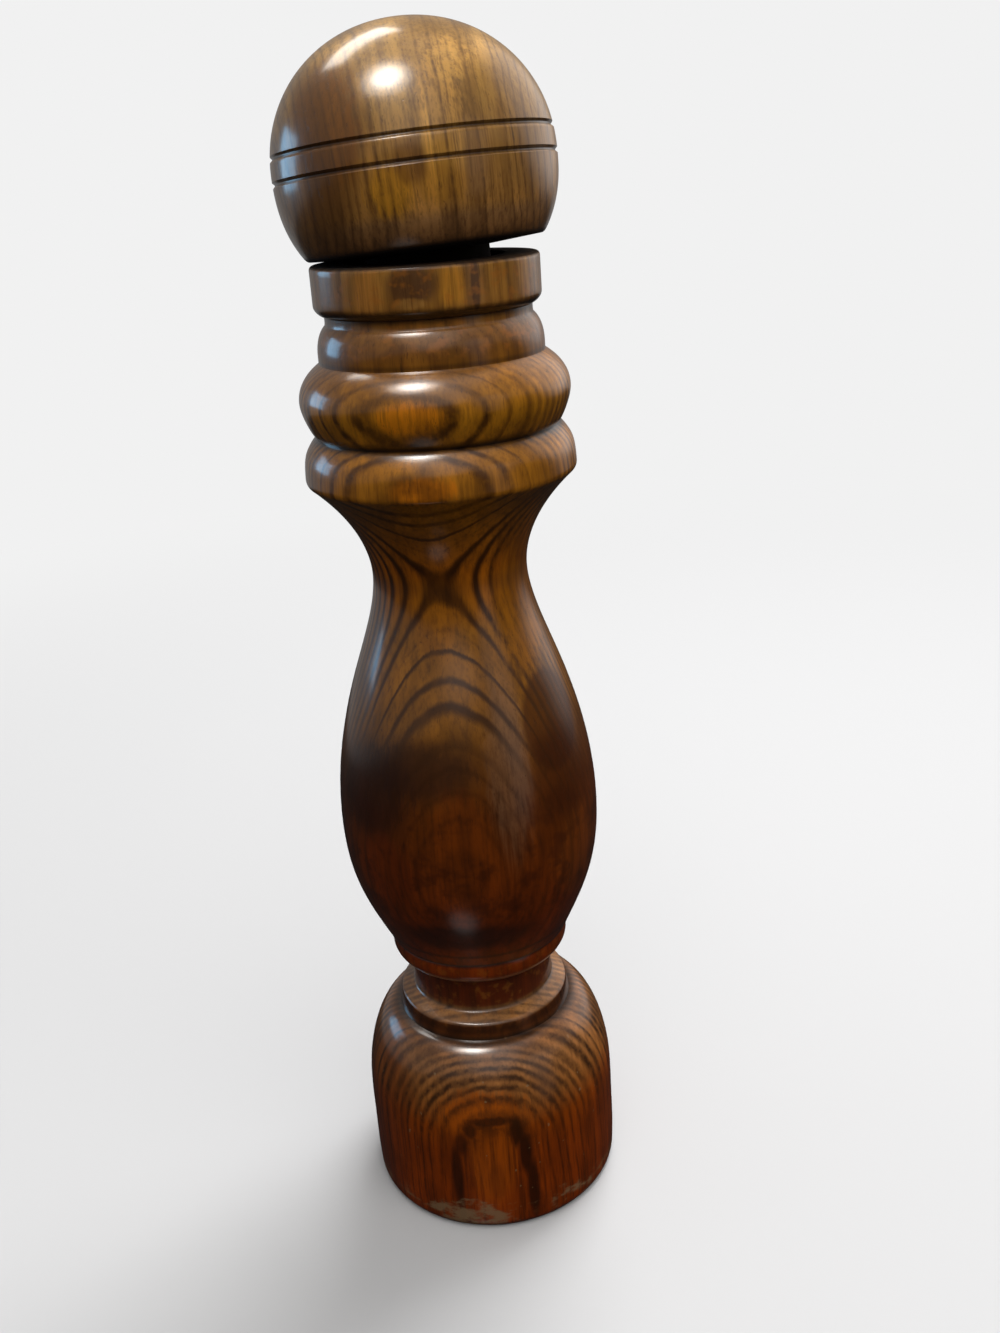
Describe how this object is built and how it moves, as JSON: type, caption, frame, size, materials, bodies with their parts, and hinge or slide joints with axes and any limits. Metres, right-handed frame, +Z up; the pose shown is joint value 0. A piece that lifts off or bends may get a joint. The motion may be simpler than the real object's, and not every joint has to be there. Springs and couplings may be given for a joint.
{
  "type": "turned wood pepper mill",
  "caption": "Baluster-shaped turned wood pepper mill with a drilled chamber and a ball head that sits slightly askew and turns on the body.",
  "frame": {"origin": "centre of the flat underside, on the body's turning axis", "axes": "+Z up along the body's turning axis; -Y faces the viewer of the picture and +X is to the viewer's right"},
  "size_m": [0.046, 0.046, 0.201],
  "materials": {
    "body_wood": "gloss varnish over dark-stained, open-grained wood",
    "head_wood": "gloss varnish over dark-stained, open-grained wood"
  },
  "bodies": {
    "mill_body": {"turned_body": "body_wood"},
    "mill_head": {"ball_head": "head_wood"}
  },
  "joints": [
    {"name": "head_turn", "type": "hinge", "parent": "mill_body", "child": "mill_head", "pos_m": [0, 0, 0.168], "axis": [0, 0, 1], "continuous": true}
  ]
}
